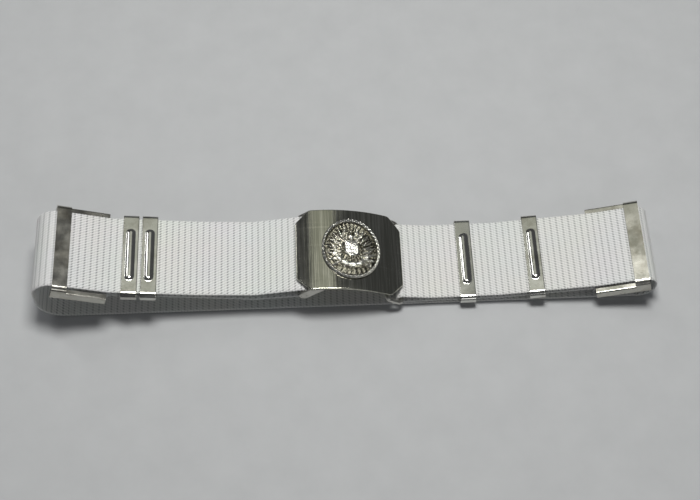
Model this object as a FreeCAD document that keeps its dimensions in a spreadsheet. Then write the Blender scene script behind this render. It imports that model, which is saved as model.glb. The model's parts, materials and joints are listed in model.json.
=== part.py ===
"""Ceremonial web belt, closed and lying flattened: webbing, plate buckle, keepers and adjusters.

Millimetres.  X runs along the flattened belt, Y across the webbing, Z up from the face that
the belt lies on.  The origin is the middle of the footprint.
"""
import FreeCAD, Part
import math
import os
import Sketcher

from FreeCAD import Placement, Rotation, Vector

doc = FreeCAD.newDocument("web_belt")
sheet = doc.addObject("Spreadsheet::Sheet", "Sizes")

DRIVING_SIZES = [
    # the whole belt as it lies
    ("belt_length", 413.2, "flattened length, fold to fold"),
    ("webbing_width", 57.0, "width of the webbing"),
    ("webbing_thickness", 1.8, "thickness of the webbing"),
    ("layer_gap", 1.8, "air between the two layers of a front side"),
    ("fit_gap", 0.3, "clearance between webbing and metal"),
    ("pin_gap", 0.05, "clearance of a pin in its hole"),
    # left side of the loop
    ("left_fold_low_radius", 18.0, "left fold, bend that leaves the back run"),
    ("left_fold_high_radius", 13.0, "left fold, bend at the shoulder"),
    ("left_shoulder_reach", 49.1, "left fold to the shoulder bend"),
    ("left_shoulder_height", 31.0, "height of the shoulder bend"),
    ("left_shoulder_rise", 17.7, "rise from the shoulder bend to the fold corner"),
    ("left_dip_reach", 106.6, "left fold to the end of the keepers' straight"),
    ("left_dip_height", 23.1, "height there"),
    ("left_waist_before_plate", 33.0, "last free bend of the front, before the hinge bar"),
    ("left_waist_height", 20.1, "height of that bend"),
    ("left_waist_return_height", 14.3, "height of the return layer there"),
    # right side of the loop
    ("right_fold_low_radius", 11.0, "right fold, bend that leaves the back run"),
    ("right_fold_high_radius", 8.5, "right fold, bend at the shoulder"),
    ("right_shoulder_reach", 37.3, "right fold to the shoulder bend"),
    ("right_shoulder_height", 16.5, "height of the shoulder bend"),
    ("right_shoulder_rise", 9.0, "rise from the shoulder bend to the fold corner"),
    ("right_flat_start", 18.8, "catch loop to the start of the flat run"),
    ("right_flat_length", 46.0, "length of the flat run"),
    ("right_flat_rise", 0.7, "rise along the flat run"),
    ("soft_bend_radius", 30.0, "radius of the small bends of the webbing"),
    # buckle
    ("plate_length", 73.0, "length of the plate along the belt"),
    ("plate_width", 61.0, "width of the plate across the belt"),
    ("plate_thickness", 1.2, "thickness of the plate"),
    ("plate_arch_radius", 95.0, "radius of the plate's underside"),
    ("plate_corner", 9.5, "chamfer of the plate's corners"),
    ("plate_tilt", 12.0, "tilt of the buckle, left side up, in degrees"),
    ("plate_height", 26.8, "height of the plate's underside at its middle"),
    ("plate_place", 2.9, "place of the plate's middle along the belt"),
    ("medal_length", 40.0, "medallion along the belt"),
    ("medal_width", 45.5, "medallion across the belt"),
    ("medal_base", 1.4, "thickness of the medallion's base"),
    ("medal_rim_height", 2.4, "height of the medallion's rim above the plate"),
    ("medal_rim_width", 2.6, "width of the medallion's rim"),
    ("medal_boss_height", 3.2, "height of the shield in the medallion's middle"),
    ("medal_boss_length", 13.0, "shield along the belt"),
    ("medal_boss_width", 17.0, "shield across the belt"),
    ("stud_diameter", 2.4, "shank of the medallion's studs"),
    ("stud_spacing", 28.0, "distance between the studs"),
    ("rivet_head", 5.0, "diameter of the rivet heads"),
    ("rivet_head_height", 0.8, "height of the rivet heads"),
    ("hinge_bar_diameter", 4.0, "bar that holds the left end of the webbing"),
    ("hinge_setback", 6.5, "hinge bar behind the plate's left end"),
    ("hinge_depth", 12.5, "hinge bar below the plate's middle"),
    ("hinge_loop_inner", 3.2, "inner radius of the webbing round the hinge bar"),
    ("ear_thickness", 1.2, "thickness of the hinge ears"),
    ("ear_radius", 3.2, "radius of the ear round the bar"),
    ("hook_thickness", 1.4, "sheet of the hook"),
    ("hook_width", 24.0, "width of the hook"),
    ("hook_start", 4.0, "hook's root, right of the plate's middle"),
    ("hook_reach", 2.9, "hook's tip below the catch loop"),
    ("hook_rivet_place", 10.0, "hook rivets, right of the plate's middle"),
    ("hook_rivet_spacing", 13.0, "distance between the hook rivets"),
    # catch loop
    ("catch_wire", 3.2, "wire of the catch loop"),
    ("catch_length", 12.0, "catch loop, bar to bar"),
    ("catch_corner", 2.8, "corner radius of the catch loop"),
    ("catch_tilt", 35.0, "tilt of the catch loop, hook side up, in degrees"),
    ("catch_place", 33.5, "catch loop's webbing, right of the plate's middle"),
    ("catch_loop_inner", 2.8, "inner radius of the webbing round the catch loop"),
    # keepers
    ("keeper_width", 10.5, "keeper along the belt"),
    ("keeper_sheet", 0.8, "sheet of the keepers"),
    ("keeper_rib_length", 39.0, "raised rib of a keeper, across the belt"),
    ("keeper_rib_width", 6.0, "width of the raised rib"),
    ("keeper_rib_height", 1.0, "height of the raised rib"),
    ("keeper_one_place", -143.6, "left outer keeper"),
    ("keeper_two_place", -131.1, "left inner keeper"),
    ("keeper_three_place", 80.4, "right inner keeper"),
    ("keeper_four_place", 126.4, "right outer keeper"),
    # adjusters
    ("slide_band", 9.5, "width of the adjuster's outer bar"),
    ("slide_sheet", 1.2, "thickness of the adjuster's outer bar"),
    ("slide_length", 35.8, "length of an adjuster"),
    ("slide_rail", 3.8, "width of the adjuster's side rails"),
    ("slide_side_gap", 0.7, "side clearance of the webbing in the adjuster"),
    ("slide_end_bar", 4.0, "width of the adjuster's inner bar"),
    ("slide_end_thickness", 1.5, "thickness of the adjuster's inner bar"),
    ("slide_pin_diameter", 3.0, "pin that the webbing's end is sewn round"),
    ("slide_pin_place", 14.0, "that pin, inward of the outer bar"),
    ("left_slide_reach", 19.1, "left fold to the left adjuster's outer bar"),
    ("right_slide_reach", 6.0, "right adjuster's outer bar, inward of the fold"),
    ("hem_length", 19.0, "sewn hem, from the pin to the cut end"),
]

for row, (alias, value, meaning) in enumerate(DRIVING_SIZES, start=1):
    sheet.set(f"A{row}", meaning)
    sheet.set(f"B{row}", str(value))
    sheet.setAlias(f"B{row}", alias)
doc.recompute()


def size(alias):
    """Value of a driving size, in millimetres or degrees."""
    return float(sheet.get(alias))


subparts = []


def name_subpart(item, label):
    """Give a finished sub-part the name of its file."""
    item.Label = label
    subparts.append(item)
    return item


# ---- helpers: primitives whose sizes are bound to the sheet --------------------------------

ALONG_Y = Rotation(Vector(1, 0, 0), -90)


def bind(item, **expressions):
    for prop, expression in expressions.items():
        item.setExpression(prop, expression)
    return item


def cylinder_across(name, radius, length, x, z, y_middle=0.0):
    """Cylinder whose axis runs across the belt (along Y), centred on y_middle."""
    item = doc.addObject("Part::Cylinder", name)
    bind(item, Radius=radius, Height=length)
    doc.recompute()
    start = Vector(x, y_middle - item.Height.Value / 2, z)
    item.Placement = Placement(start, ALONG_Y)
    return item


def box_between(name, length, width, height, corner):
    item = doc.addObject("Part::Box", name)
    bind(item, Length=length, Width=width, Height=height)
    item.Placement = Placement(corner, Rotation())
    return item


def cut(name, base, tool):
    item = doc.addObject("Part::Cut", name)
    item.Base = base
    item.Tool = tool
    return item


def join(name, *items):
    item = doc.addObject("Part::MultiFuse", name)
    item.Shapes = list(items)
    item.Refine = True
    return item


def shared(name, *items):
    item = doc.addObject("Part::MultiCommon", name)
    item.Shapes = list(items)
    return item


# ---- helpers: the webbing's route, straight runs joined by tangent arcs --------------------

def at(x, z):
    return Vector(x, 0, z)


def offset_point(point, direction, distance):
    """Point moved by distance to the upper side of a run that heads along direction."""
    heading = Vector(direction).normalize()
    upward = Vector(-heading.z, 0, heading.x)
    if upward.z < 0:
        upward = upward * -1
    return point + upward * distance


def wrap_corners(before, centre, radius, after, side):
    """The two corners that lead a route round a bar: side is +1 right of it, -1 left of it."""
    corners = []
    for point, upper in ((before, before.z > after.z), (after, after.z > before.z)):
        away = centre - point
        base = math.atan2(away.z, away.x * side)
        swing = math.asin(radius / away.Length)
        slope = base + swing if upper else base - swing
        x = centre.x + side * radius
        corners.append(at(x, point.z + (x - point.x) * side * math.tan(slope)))
    return corners


def route_edges(stations):
    """Edges of a route given as (point, bend radius); each bend is a tangent arc."""
    edges = []
    start = stations[0][0]
    for index in range(1, len(stations) - 1):
        corner, radius = stations[index]
        incoming = (corner - stations[index - 1][0]).normalize()
        outgoing = (stations[index + 1][0] - corner).normalize()
        turn = incoming.getAngle(outgoing)
        reach = radius * math.tan(turn / 2)
        first = corner - incoming * reach
        last = corner + outgoing * reach
        inward = (outgoing - incoming).normalize()
        middle = corner + inward * (radius / math.cos(turn / 2) - radius)
        if (first - start).Length > 0.001:
            edges.append(Part.LineSegment(start, first).toShape())
        edges.append(Part.Arc(first, middle, last).toShape())
        start = last
    edges.append(Part.LineSegment(start, stations[-1][0]).toShape())
    return edges


def band_along(edges, thickness, width):
    """Solid of the webbing along a run of edges in the XZ plane."""
    sides = []
    for sign in (1, -1):
        run = []
        for edge in edges:
            ends = []
            for place in (edge.FirstParameter, (edge.FirstParameter + edge.LastParameter) / 2,
                          edge.LastParameter):
                tangent = edge.tangentAt(place)
                normal = Vector(-tangent.z, 0, tangent.x)
                ends.append(edge.valueAt(place) + normal * (sign * thickness / 2))
            if edge.Curve.TypeId == "Part::GeomLine":
                run.append(Part.LineSegment(ends[0], ends[2]).toShape())
            else:
                run.append(Part.Arc(*ends).toShape())
        sides.append(run)
    first_end = Part.LineSegment(sides[0][0].valueAt(sides[0][0].FirstParameter),
                                 sides[1][0].valueAt(sides[1][0].FirstParameter)).toShape()
    last_end = Part.LineSegment(sides[0][-1].valueAt(sides[0][-1].LastParameter),
                                sides[1][-1].valueAt(sides[1][-1].LastParameter)).toShape()
    outline = Part.Wire(Part.__sortEdges__(sides[0] + sides[1] + [first_end, last_end]))
    return Part.Face(outline).extrude(Vector(0, width, 0))


def webbing_piece(label, edges):
    item = doc.addObject("Part::Feature", label)
    item.Shape = band_along(edges, size("webbing_thickness"), size("webbing_width"))
    item.Placement = Placement(Vector(0, -size("webbing_width") / 2, 0), Rotation())
    return name_subpart(item, label)


# ---- places shared by several sub-parts -----------------------------------------------------

half_length = size("belt_length") / 2
thickness = size("webbing_thickness")
half_thickness = thickness / 2
layer_step = thickness + size("layer_gap")
half_web = size("webbing_width") / 2
gap = size("fit_gap")

tilt = math.radians(size("plate_tilt"))
buckle_pose = Placement(at(size("plate_place"), size("plate_height")),
                        Rotation(Vector(0, 1, 0), size("plate_tilt")))

hinge_local = at(-(size("plate_length") / 2 - size("hinge_setback")), -size("hinge_depth"))
hinge_axis = buckle_pose.multVec(hinge_local)
hinge_slack = size("hinge_loop_inner") - size("hinge_bar_diameter") / 2 - gap
hinge_wrap = hinge_axis - at(hinge_slack, 0)
hinge_wrap_radius = size("hinge_loop_inner") + half_thickness

catch_wrap_radius = size("catch_loop_inner") + half_thickness
catch_wrap = at(size("plate_place") + size("catch_place"),
                thickness + gap + catch_wrap_radius + half_thickness)
catch_slack = size("catch_loop_inner") - size("catch_wire") / 2 - gap
catch_bar = catch_wrap - at(catch_slack, 0)
catch_angle = math.radians(size("catch_tilt"))
hooked_bar = catch_bar + at(-math.cos(catch_angle), math.sin(catch_angle)) * size("catch_length")

# ---- the webbing's route --------------------------------------------------------------------

bend = size("soft_bend_radius")

left_edge = -(half_length - half_thickness)
left_fold_low = at(left_edge, half_thickness)
left_shoulder = at(left_edge + size("left_shoulder_reach"), size("left_shoulder_height"))
left_fold_high = at(left_edge, left_shoulder.z + size("left_shoulder_rise"))
left_dip = at(left_edge + size("left_dip_reach"), size("left_dip_height"))
left_waist = at(hinge_axis.x - size("left_waist_before_plate"), size("left_waist_height"))
left_waist_return = at(left_waist.x, size("left_waist_return_height"))

right_edge = half_length - half_thickness
right_fold_low = at(right_edge, half_thickness)
right_shoulder = at(right_edge - size("right_shoulder_reach"), size("right_shoulder_height"))
right_fold_high = at(right_edge, right_shoulder.z + size("right_shoulder_rise"))
keeper_bottom = half_thickness + layer_step + gap + size("keeper_sheet")
right_flat = at(catch_wrap.x + size("right_flat_start"), thickness + gap + keeper_bottom)
right_flat_end = right_flat + at(size("right_flat_length"), size("right_flat_rise"))


def below(point, one, other):
    """Place of the return layer under a bend of the front, between its two runs."""
    first = Vector(one).normalize()
    second = Vector(other).normalize()
    half_turn = first.getAngle(second) / 2
    return offset_point(point, first + second, -layer_step / math.cos(half_turn))


left_shoulder_return = below(left_shoulder, left_shoulder - left_fold_high, left_dip - left_shoulder)
left_dip_return = below(left_dip, left_dip - left_shoulder, left_waist - left_dip)
right_flat_return = below(right_flat, right_flat - catch_wrap, right_flat_end - right_flat)
right_flat_end_return = below(right_flat_end, right_flat_end - right_flat,
                              right_shoulder - right_flat_end)
right_shoulder_return = below(right_shoulder, right_shoulder - right_flat_end,
                              right_fold_high - right_shoulder)

# An adjuster's own frame has its origin on the front layer under the outer bar, +X outward
# along the front layer and +Z up from it; the left one is turned about Z.
left_slope = math.degrees(math.atan2(size("left_shoulder_rise"), size("left_shoulder_reach")))
left_slide_x = left_edge + size("left_slide_reach")
left_slide_z = left_shoulder.z + (left_shoulder.x - left_slide_x) * math.tan(math.radians(left_slope))
left_slide_pose = Placement(at(left_slide_x, left_slide_z),
                            Rotation(Vector(0, 0, 1), 180).multiply(
                                Rotation(Vector(0, 1, 0), -left_slope)))
right_slope = math.degrees(math.atan2(size("right_shoulder_rise"), size("right_shoulder_reach")))
right_slide_x = right_edge - size("right_slide_reach") - size("slide_band") / 2
right_slide_z = right_shoulder.z + (right_slide_x - right_shoulder.x) * math.tan(
    math.radians(right_slope))
right_slide_pose = Placement(at(right_slide_x, right_slide_z),
                             Rotation(Vector(0, 1, 0), -right_slope))

pin_radius = size("slide_pin_diameter") / 2
pin_wrap_radius = pin_radius + gap + half_thickness
pin_local = at(-size("slide_pin_place"), -(layer_step + pin_wrap_radius))
hem_offset = layer_step + thickness + gap


def tail_stations(pose):
    """Return layer round the adjuster's pin and back along its own hem, outermost end first."""
    hem_start = pin_local.x - 2.4 * pin_wrap_radius
    hem = at(hem_start, -hem_offset)
    hem_end = at(pin_local.x - size("hem_length"), -hem_offset)
    incoming = at(hem_start, -layer_step)
    lower, upper = wrap_corners(hem, pin_local, pin_wrap_radius, incoming, 1)
    stations = [(hem_end, 0), (hem, pin_wrap_radius * 2), (lower, pin_wrap_radius),
                (upper, pin_wrap_radius)]
    return [(pose.multVec(point), radius) for point, radius in stations]


left_high, left_low = wrap_corners(left_waist, hinge_wrap, hinge_wrap_radius, left_waist_return, 1)
left_route = tail_stations(left_slide_pose) + [
    (left_shoulder_return, bend),
    (left_dip_return, bend),
    (left_waist_return, bend),
    (left_low, hinge_wrap_radius),
    (left_high, hinge_wrap_radius),
    (left_waist, bend),
    (left_dip, bend),
    (left_shoulder, bend),
    (left_fold_high, size("left_fold_high_radius")),
    (left_fold_low, size("left_fold_low_radius")),
    (at(0, half_thickness), 0),
]
right_high, right_low = wrap_corners(right_flat, catch_wrap, catch_wrap_radius,
                                     right_flat_return, -1)
right_route = tail_stations(right_slide_pose) + [
    (right_shoulder_return, bend),
    (right_flat_end_return, bend),
    (right_flat_return, bend),
    (right_low, catch_wrap_radius),
    (right_high, catch_wrap_radius),
    (right_flat, bend),
    (right_flat_end, bend),
    (right_shoulder, bend),
    (right_fold_high, size("right_fold_high_radius")),
    (right_fold_low, size("right_fold_low_radius")),
    (at(0, half_thickness), 0),
]


def split_route(edges, wrap_centre, wrap_radius, fold_start):
    """Return, loop round the bar, front and fold: four runs of one side's edges."""
    on_wrap = []
    for index, edge in enumerate(edges):
        if edge.Curve.TypeId != "Part::GeomLine":
            if (edge.Curve.Center - wrap_centre).Length < 0.01:
                on_wrap.append(index)
    first, last = on_wrap[0], on_wrap[-1] + 1
    return {
        "return": edges[:first],
        "loop": edges[first:last],
        "front": edges[last:fold_start],
        "fold": edges[fold_start:-1],
        "back": edges[-1:],
    }


left_edges = route_edges(left_route)
right_edges = route_edges(right_route)
left_runs = split_route(left_edges, hinge_wrap, hinge_wrap_radius, len(left_edges) - 4)
right_runs = split_route(right_edges, catch_wrap, catch_wrap_radius, len(right_edges) - 4)

for side, runs in (("left", left_runs), ("right", right_runs)):
    for run in ("return", "loop", "front", "fold"):
        webbing_piece(f"webbing_{side}_{run}", runs[run])

back_start = left_runs["back"][0].valueAt(left_runs["back"][0].FirstParameter)
back_end = right_runs["back"][0].valueAt(right_runs["back"][0].FirstParameter)
back_run = doc.addObject("Part::Box", "back_run")
bind(back_run, Width="Sizes.webbing_width", Height="Sizes.webbing_thickness")
back_run.Length = back_end.x - back_start.x
back_run.Placement = Placement(Vector(back_start.x, -half_web, 0), Rotation())
name_subpart(back_run, "webbing_back")


# ---- buckle, drawn in its own frame: origin on the plate's underside at its middle ----------

arch_centre = -size("plate_arch_radius")


def arch_cylinder(name, radius, length="Sizes.plate_width"):
    """Cylinder about the plate's arch axis."""
    return cylinder_across(name, radius, length, 0, arch_centre)


def corner_edges(solid, length):
    """Names of the short straight edges at the corners of a sheet."""
    names = []
    for index, edge in enumerate(solid.Edges, start=1):
        straight = edge.Curve.TypeId == "Part::GeomLine"
        if straight and abs(edge.Length - length) < 0.01:
            names.append(f"Edge{index}")
    return names


def origin_plane(body, role):
    for feature in body.Origin.OriginFeatures:
        if feature.Role == role:
            return feature
    raise ValueError(role)


def make_plate():
    body = doc.addObject("PartDesign::Body", "PlateBody")
    sketch = body.newObject("Sketcher::SketchObject", "PlateArch")
    sketch.AttachmentSupport = [(origin_plane(body, "XZ_Plane"), "")]
    sketch.MapMode = "FlatFace"
    inner = size("plate_arch_radius")
    outer = inner + size("plate_thickness")
    half_angle = math.asin(size("plate_length") / 2 / outer)
    middle = Vector(0, arch_centre, 0)
    for radius in (inner, outer):
        circle = Part.Circle(middle, Vector(0, 0, 1), radius)
        sketch.addGeometry(Part.ArcOfCircle(circle, math.pi / 2 - half_angle,
                                            math.pi / 2 + half_angle), False)
    for sign in (1, -1):
        ends = [middle + Vector(sign * math.sin(half_angle), math.cos(half_angle), 0) * radius
                for radius in (inner, outer)]
        sketch.addGeometry(Part.LineSegment(*ends), False)
    for arc, arc_end, line, line_end in ((0, 1, 2, 1), (1, 1, 2, 2), (0, 2, 3, 1), (1, 2, 3, 2)):
        sketch.addConstraint(Sketcher.Constraint("Coincident", arc, arc_end, line, line_end))
    sketch.addConstraint(Sketcher.Constraint("Coincident", 0, 3, 1, 3))
    sketch.addConstraint(Sketcher.Constraint("PointOnObject", 0, 3, -2))
    rules = [
        (Sketcher.Constraint("Radius", 0, inner), "Sizes.plate_arch_radius"),
        (Sketcher.Constraint("Radius", 1, outer), "Sizes.plate_arch_radius + Sizes.plate_thickness"),
        (Sketcher.Constraint("DistanceY", 0, 3, -1, 1, inner), "Sizes.plate_arch_radius"),
        (Sketcher.Constraint("DistanceX", 1, 2, 1, 1, size("plate_length")), "Sizes.plate_length"),
    ]
    for rule, expression in rules:
        index = sketch.addConstraint(rule)
        sketch.setExpression(f"Constraints[{index}]", expression)
    for arc in (0, 1):
        sketch.addConstraint(Sketcher.Constraint("Symmetric", arc, 1, arc, 2, -2))
    pad = body.newObject("PartDesign::Pad", "PlatePad")
    pad.Profile = sketch
    pad.Midplane = True
    pad.setExpression("Length", "Sizes.plate_width")
    doc.recompute()
    chamfer = body.newObject("PartDesign::Chamfer", "PlateCorners")
    chamfer.Base = (pad, corner_edges(pad.Shape, size("plate_thickness")))
    chamfer.setExpression("Size", "Sizes.plate_corner")
    doc.recompute()
    body.Tip = chamfer
    return body


def on_arch(along, across, radius_offset=0.0):
    """Pose on the plate's underside, +Z square to it, at an arc length from the middle."""
    angle = along / size("plate_arch_radius")
    radius = size("plate_arch_radius") + radius_offset
    place = Vector(radius * math.sin(angle), across, arch_centre + radius * math.cos(angle))
    return Placement(place, Rotation(Vector(0, 1, 0), math.degrees(angle)))


def pin_on_arch(name, radius, length, along, across, lift):
    item = doc.addObject("Part::Cylinder", name)
    bind(item, Radius=radius, Height=length)
    item.Placement = on_arch(along, across, lift)
    return item


stud_places = [(0, sign * size("stud_spacing") / 2) for sign in (1, -1)]
rivet_places = [(size("hook_rivet_place"), sign * size("hook_rivet_spacing") / 2)
                for sign in (1, -1)]

plate_body = make_plate()
plate_holes = [pin_on_arch(f"stud_hole_{index}", "Sizes.stud_diameter / 2 + Sizes.pin_gap",
                           "10", along, across, -5)
               for index, (along, across) in enumerate(stud_places)]
plate = cut("plate", plate_body, join("plate_holes", *plate_holes))
plate.Placement = buckle_pose
name_subpart(plate, "buckle_plate")


def oval_prism(name, length, width, bottom, top):
    """Upright elliptical prism; width, across the belt, is the longer axis."""
    outline = doc.addObject("Part::Ellipse", name + "_outline")
    bind(outline, MajorRadius=width, MinorRadius=length)
    outline.Placement = Placement(at(0, bottom), Rotation(Vector(0, 0, 1), 90))
    prism = doc.addObject("Part::Extrusion", name)
    prism.Base = outline
    prism.DirMode = "Custom"
    prism.Dir = Vector(0, 0, 1)
    prism.LengthFwd = top - bottom
    prism.Solid = True
    return prism


def arch_shell(name, inner, outer):
    return cut(name, arch_cylinder(name + "_outer", outer), arch_cylinder(name + "_inner", inner))


PLATE_FRONT = "Sizes.plate_arch_radius + Sizes.plate_thickness"
prism_low, prism_high = -8.0, 12.0
medal_base = shared(
    "medal_base",
    oval_prism("medal_oval", "Sizes.medal_length / 2", "Sizes.medal_width / 2",
               prism_low, prism_high),
    arch_shell("medal_base_shell", PLATE_FRONT, PLATE_FRONT + " + Sizes.medal_base"))
medal_ring = cut(
    "medal_ring",
    oval_prism("ring_oval", "Sizes.medal_length / 2", "Sizes.medal_width / 2",
               prism_low, prism_high),
    oval_prism("field_oval", "Sizes.medal_length / 2 - Sizes.medal_rim_width",
               "Sizes.medal_width / 2 - Sizes.medal_rim_width", prism_low - 1, prism_high + 1))
medal_rim = shared("medal_rim", medal_ring,
                   arch_shell("rim_shell", PLATE_FRONT, PLATE_FRONT + " + Sizes.medal_rim_height"))
medal_boss = shared(
    "medal_boss",
    oval_prism("boss_oval", "Sizes.medal_boss_length / 2", "Sizes.medal_boss_width / 2",
               prism_low, prism_high),
    arch_shell("boss_shell", PLATE_FRONT, PLATE_FRONT + " + Sizes.medal_boss_height"))
medallion = join("medallion", medal_base, medal_rim, medal_boss)
medallion.Placement = buckle_pose
name_subpart(medallion, "medallion")

studs = []
for index, (along, across) in enumerate(stud_places):
    shank = pin_on_arch(f"stud_shank_{index}", "Sizes.stud_diameter / 2",
                        "Sizes.plate_thickness + Sizes.rivet_head_height", along, across,
                        -size("rivet_head_height"))
    head = pin_on_arch(f"stud_head_{index}", "Sizes.rivet_head / 2", "Sizes.rivet_head_height",
                       along, across, -size("rivet_head_height") - size("pin_gap"))
    studs.append(join(f"stud_{index}", shank, head))
medal_studs = join("medal_studs", *studs)
medal_studs.Placement = buckle_pose
name_subpart(medal_studs, "medallion_studs")

hinge_bar = cylinder_across("hinge_bar", "Sizes.hinge_bar_diameter / 2", "Sizes.plate_width",
                            hinge_local.x, hinge_local.z)
hinge_bar.Placement = buckle_pose.multiply(hinge_bar.Placement)
name_subpart(hinge_bar, "hinge_bar")


def make_ear(sign):
    """Sheet ear from the plate's underside down round the hinge bar."""
    middle = sign * (size("plate_width") / 2 - size("pin_gap") - size("ear_thickness") / 2)
    suffix = "far" if sign > 0 else "near"
    eye = cylinder_across(f"ear_eye_{suffix}", "Sizes.ear_radius", "Sizes.ear_thickness",
                          hinge_local.x, hinge_local.z, middle)
    lean = math.degrees(math.atan2(size("ear_radius") * 2.4, size("hinge_depth") - 2.5))
    leg = box_between(f"ear_leg_{suffix}", "2 * Sizes.ear_radius", "Sizes.ear_thickness",
                      "Sizes.hinge_depth + 8", Vector())
    turned = Rotation(Vector(0, 1, 0), lean)
    corner = turned.multVec(Vector(-size("ear_radius"), 0, 0))
    leg.Placement = Placement(hinge_local + corner + Vector(0, middle - size("ear_thickness") / 2, 0),
                              turned)
    hole = cylinder_across(f"ear_hole_{suffix}", "Sizes.hinge_bar_diameter / 2 + Sizes.pin_gap",
                           "Sizes.ear_thickness * 3", hinge_local.x, hinge_local.z, middle)
    blank = cut(f"ear_blank_{suffix}", join(f"ear_sheet_{suffix}", eye, leg), hole)
    return shared(f"ear_{suffix}", blank,
                  arch_cylinder(f"ear_trim_{suffix}", "Sizes.plate_arch_radius"))


ears = join("ears", make_ear(1), make_ear(-1))
ears.Placement = buckle_pose
name_subpart(ears, "hinge_ears")

hooked_local = buckle_pose.inverse().multVec(hooked_bar)
hook_inner = (hooked_local - hinge_local).Length + size("catch_wire") / 2 + gap
hook_outer = hook_inner + size("hook_thickness")
hook_tip = hooked_local.z - size("catch_wire") / 2 - size("hook_reach")


def make_hook():
    """Hook: a strip riveted under the plate and a finger concentric with the hinge bar."""
    root = size("hook_start")
    reach = hinge_local.x + hook_outer - root
    strip_zone = box_between("strip_zone", "1", "Sizes.hook_width", "1",
                             Vector(root, -size("hook_width") / 2, hook_tip))
    finger_zone = box_between("finger_zone", "1", "Sizes.hook_width", "1",
                              Vector(root, -size("hook_width") / 2, hook_tip))
    for zone in (strip_zone, finger_zone):
        zone.setExpression("Length", None)
        zone.setExpression("Height", None)
        zone.Length = reach + 1
        zone.Height = -hook_tip + 1
    strip = shared("strip", strip_zone,
                   arch_shell("strip_shell", "Sizes.plate_arch_radius - Sizes.hook_thickness",
                              "Sizes.plate_arch_radius"))
    rim = cylinder_across("hook_rim", f"{hook_outer}", "Sizes.plate_width",
                          hinge_local.x, hinge_local.z)
    core = cylinder_across("hook_core", f"{hook_inner}", "Sizes.plate_width * 1.1",
                           hinge_local.x, hinge_local.z)
    under_plate = arch_cylinder("under_plate", "Sizes.plate_arch_radius")
    finger = shared("finger", finger_zone, cut("finger_shell", rim, core), under_plate)
    trimmed_strip = shared("trimmed_strip", strip, rim)
    blank = join("hook_blank", trimmed_strip, finger)
    holes = [pin_on_arch(f"rivet_hole_{index}", "Sizes.stud_diameter / 2 + Sizes.pin_gap",
                         "10", along, across, -5)
             for index, (along, across) in enumerate(rivet_places)]
    return cut("hook", blank, join("hook_holes", *holes))


hook = make_hook()
hook.Placement = buckle_pose
name_subpart(hook, "hook")

rivets = []
for index, (along, across) in enumerate(rivet_places):
    shank = pin_on_arch(f"rivet_shank_{index}", "Sizes.stud_diameter / 2",
                        "Sizes.hook_thickness + Sizes.rivet_head_height", along, across,
                        -size("hook_thickness") - size("rivet_head_height"))
    head = pin_on_arch(f"rivet_head_{index}", "Sizes.rivet_head / 2", "Sizes.rivet_head_height",
                       along, across,
                       -size("hook_thickness") - size("rivet_head_height") - size("pin_gap"))
    rivets.append(join(f"rivet_{index}", shank, head))
hook_rivets = join("rivets", *rivets)
hook_rivets.Placement = buckle_pose
name_subpart(hook_rivets, "hook_rivets")

# ---- catch loop: a bent wire ring, one bar in the webbing and one on the hook ----------------


def make_catch_loop():
    """Ring drawn flat with its webbing bar on X = 0 and its hook bar at X = length."""
    wire = size("catch_wire")
    corner = size("catch_corner")
    length = size("catch_length")
    half_width = half_web + 2 * gap + wire / 2 + 0.1
    corners = [Vector(0, -half_width, 0), Vector(length, -half_width, 0),
               Vector(length, half_width, 0), Vector(0, half_width, 0)]
    route = [(Vector(0, 0, 0), 0)]
    route += [(point, corner) for point in corners]
    route += [(Vector(0, 0, 0), 0)]
    path = Part.Wire(route_edges(route))
    section = Part.Wire(Part.Circle(Vector(0, 0, 0), Vector(0, 1, 0), wire / 2).toShape())
    return path.makePipeShell([section], True, True)


catch_loop = doc.addObject("Part::Feature", "catch_loop")
catch_loop.Shape = make_catch_loop()
catch_loop.Placement = Placement(catch_bar, Rotation(Vector(0, 1, 0), size("catch_tilt")).multiply(
    Rotation(Vector(0, 0, 1), 180)))
name_subpart(catch_loop, "catch_loop")

# ---- keepers ----------------------------------------------------------------------------------


def stadium_prism(name, radius, half_straight, length, middle_z, length_start):
    """Prism along X with a stadium section: straight across the belt, round at both ends."""
    body = box_between(name + "_middle", length, f"2 * ({half_straight})", f"2 * ({radius})",
                       Vector())
    ends = []
    for sign in (1, -1):
        end = doc.addObject("Part::Cylinder", f"{name}_end_{'far' if sign > 0 else 'near'}")
        bind(end, Radius=radius, Height=length)
        ends.append((sign, end))
    doc.recompute()
    straight = body.Width.Value / 2
    body.Placement = Placement(Vector(length_start, -straight, middle_z - body.Height.Value / 2),
                               Rotation())
    for sign, end in ends:
        end.Placement = Placement(Vector(length_start, sign * straight, middle_z),
                                  Rotation(Vector(0, 1, 0), 90))
    return join(name, body, *[end for _, end in ends])


KEEPER_INNER = "(2 * Sizes.webbing_thickness + Sizes.layer_gap + 2 * Sizes.fit_gap) / 2"
KEEPER_STRAIGHT = "Sizes.webbing_width / 2 - Sizes.fit_gap * 2"
keeper_middle = half_thickness + gap - (2 * thickness + size("layer_gap") + 2 * gap) / 2


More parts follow.
